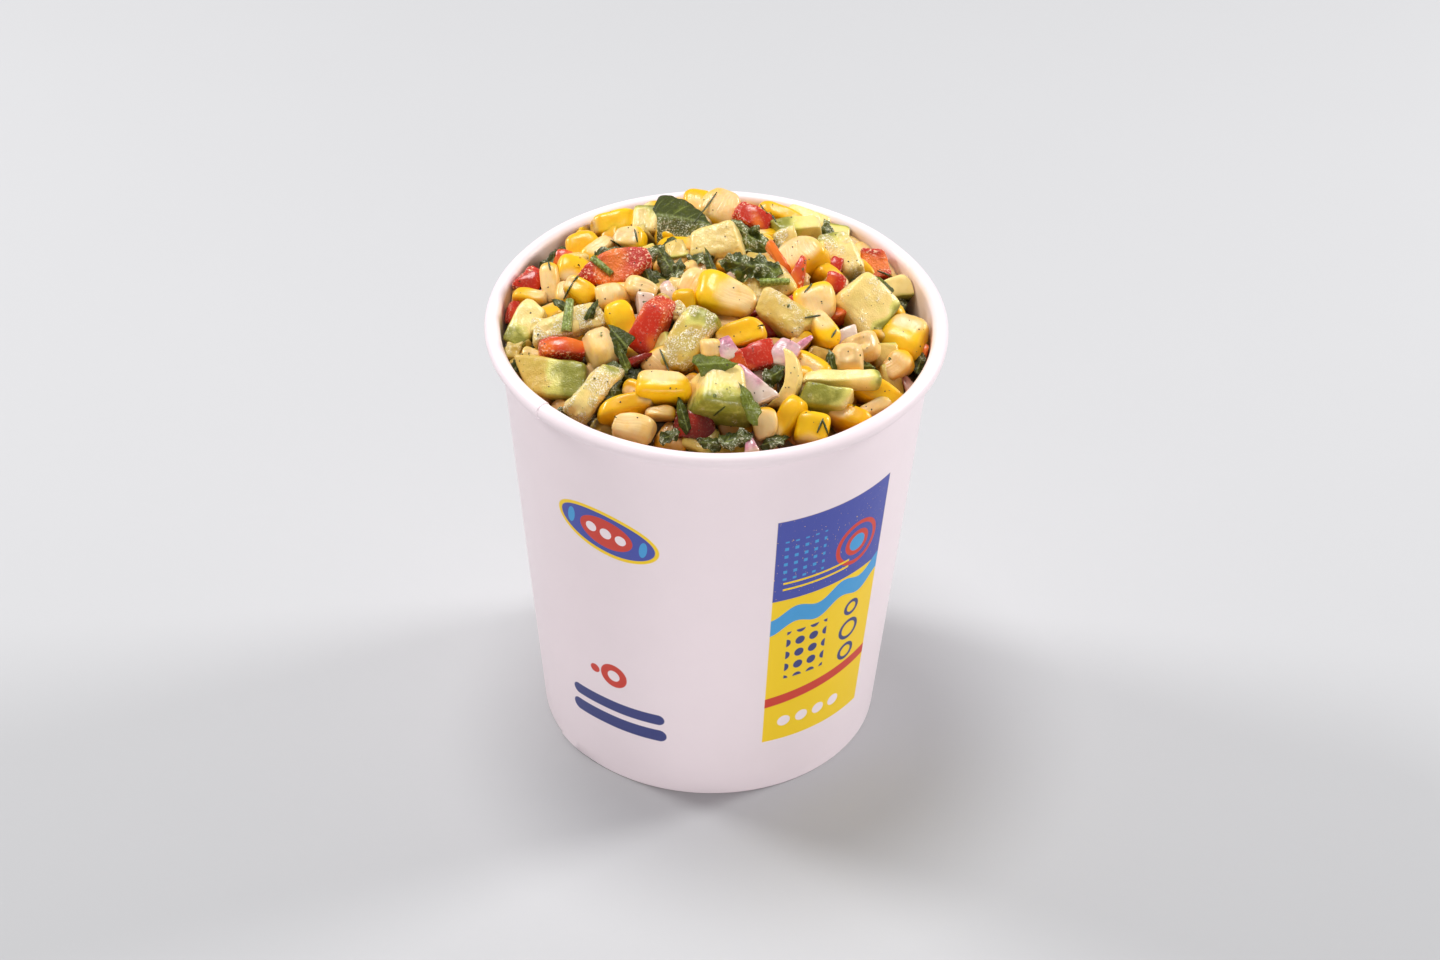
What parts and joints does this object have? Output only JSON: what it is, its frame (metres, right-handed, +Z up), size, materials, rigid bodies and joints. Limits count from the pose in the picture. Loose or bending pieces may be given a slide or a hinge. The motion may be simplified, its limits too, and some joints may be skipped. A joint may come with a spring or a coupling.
{
  "type": "corn guacamole salad in a paper cup",
  "caption": "Chunky salad of sweet corn, diced avocado, red pepper, onion and herbs heaped in a round tapered paper cup with a rolled rim and a recessed base.",
  "frame": {"origin": "centre of the cup's foot, on the surface it stands on", "axes": "+Z up along the cup's axis, -Y toward the front of the cup as pictured, +X to the right seen from the front"},
  "size_m": [0.098, 0.098, 0.1117],
  "materials": {
    "cup_board": "satin",
    "cup_base_board": "matte",
    "salad": "satin"
  },
  "bodies": {
    "root": {"cup_wall": "cup_board", "cup_base": "cup_base_board", "salad_heap": "salad"}
  },
  "joints": []
}
